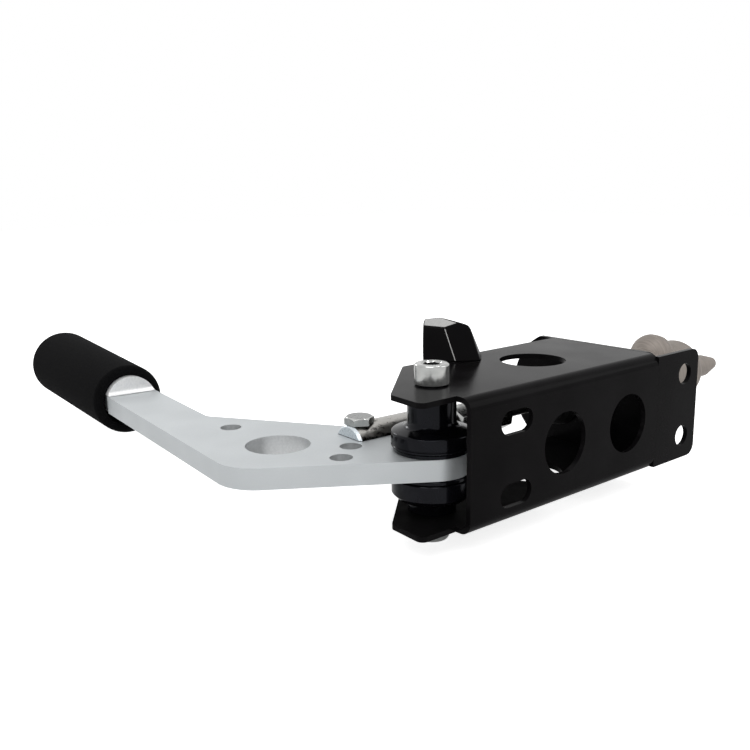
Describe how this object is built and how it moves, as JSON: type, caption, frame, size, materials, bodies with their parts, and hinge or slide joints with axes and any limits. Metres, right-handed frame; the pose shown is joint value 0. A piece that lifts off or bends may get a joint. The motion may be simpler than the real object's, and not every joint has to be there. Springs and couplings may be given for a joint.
{
  "type": "parking brake lever",
  "caption": "Hydraulic parking brake lever: a foam-gripped flat lever on a pivot in a folded channel pushes a fork and rod into a master cylinder.",
  "frame": {"origin": "centre of the bounding box's bottom face, with the part lying on its side", "axes": "+Z along the pivot bolt, from its nut to its head; +X along the channel, from the pivot to the master cylinder; +Y away from the channel's web, towards the grip"},
  "size_m": [0.3854, 0.3862, 0.0953],
  "materials": {
    "black_paint": "semi-gloss",
    "black_oxide": "gloss",
    "brushed_aluminium": "satin",
    "zinc_steel": "bright",
    "turned_steel": "satin",
    "cast_alloy": "matte",
    "bronze": "satin",
    "foam": "matte",
    "rubber": "matte"
  },
  "bodies": {
    "frame": {"channel_bracket": "black_paint", "end_plate": "black_paint", "stop_block": "black_paint", "pivot_bolt": "zinc_steel", "pivot_nut": "zinc_steel", "upper_thrust_washer": "black_oxide", "lower_thrust_washer": "black_oxide", "upper_spacer": "black_oxide", "lower_spacer": "black_oxide", "cylinder_body": "cast_alloy", "outlet_adaptor": "cast_alloy", "cylinder_bolt_1": "zinc_steel", "cylinder_bolt_2": "zinc_steel", "cylinder_nut_1": "zinc_steel", "cylinder_nut_2": "zinc_steel", "retaining_washer": "zinc_steel", "rod_boot": "rubber"},
    "lever": {"lever_plate": "brushed_aluminium", "pivot_bush": "bronze", "upper_grip_cheek": "brushed_aluminium", "lower_grip_cheek": "brushed_aluminium", "grip_rivet_1": "zinc_steel", "grip_rivet_2": "zinc_steel", "grip_rivet_3": "zinc_steel", "foam_grip": "foam"},
    "rod": {"clevis_fork": "turned_steel", "clevis_bolt": "zinc_steel", "clevis_nut": "zinc_steel", "fork_lock_nut": "zinc_steel", "rod_adjuster": "zinc_steel", "push_rod": "black_oxide"},
    "piston": {"piston": "brushed_aluminium", "rear_seal": "rubber", "pressure_seal": "rubber", "return_spring": "zinc_steel"}
  },
  "joints": [
    {"name": "lever_pull", "type": "hinge", "parent": "frame", "child": "lever", "pos_m": [-0.10856, -0.16094, 0.0384], "axis": [0, 0, -1], "range_deg": [0, 25], "stiffness_Nm_per_rad": 4, "springref_deg": -20.05},
    {"name": "clevis_swivel", "type": "hinge", "parent": "lever", "child": "rod", "pos_m": [-0.11906, -0.12094, 0.0384], "axis": [0, 0, 1], "range_deg": [0, 25]},
    {"name": "piston_slide", "type": "slide", "parent": "frame", "child": "piston", "axis": [1, 0, 0], "range_m": [0, 0.018]}
  ],
  "couplings": [
    {"joint": "clevis_swivel", "follows": "lever_pull", "ratio": 0.9896},
    {"joint": "piston_slide", "follows": "lever_pull", "m_per_rad": 0.04093}
  ]
}
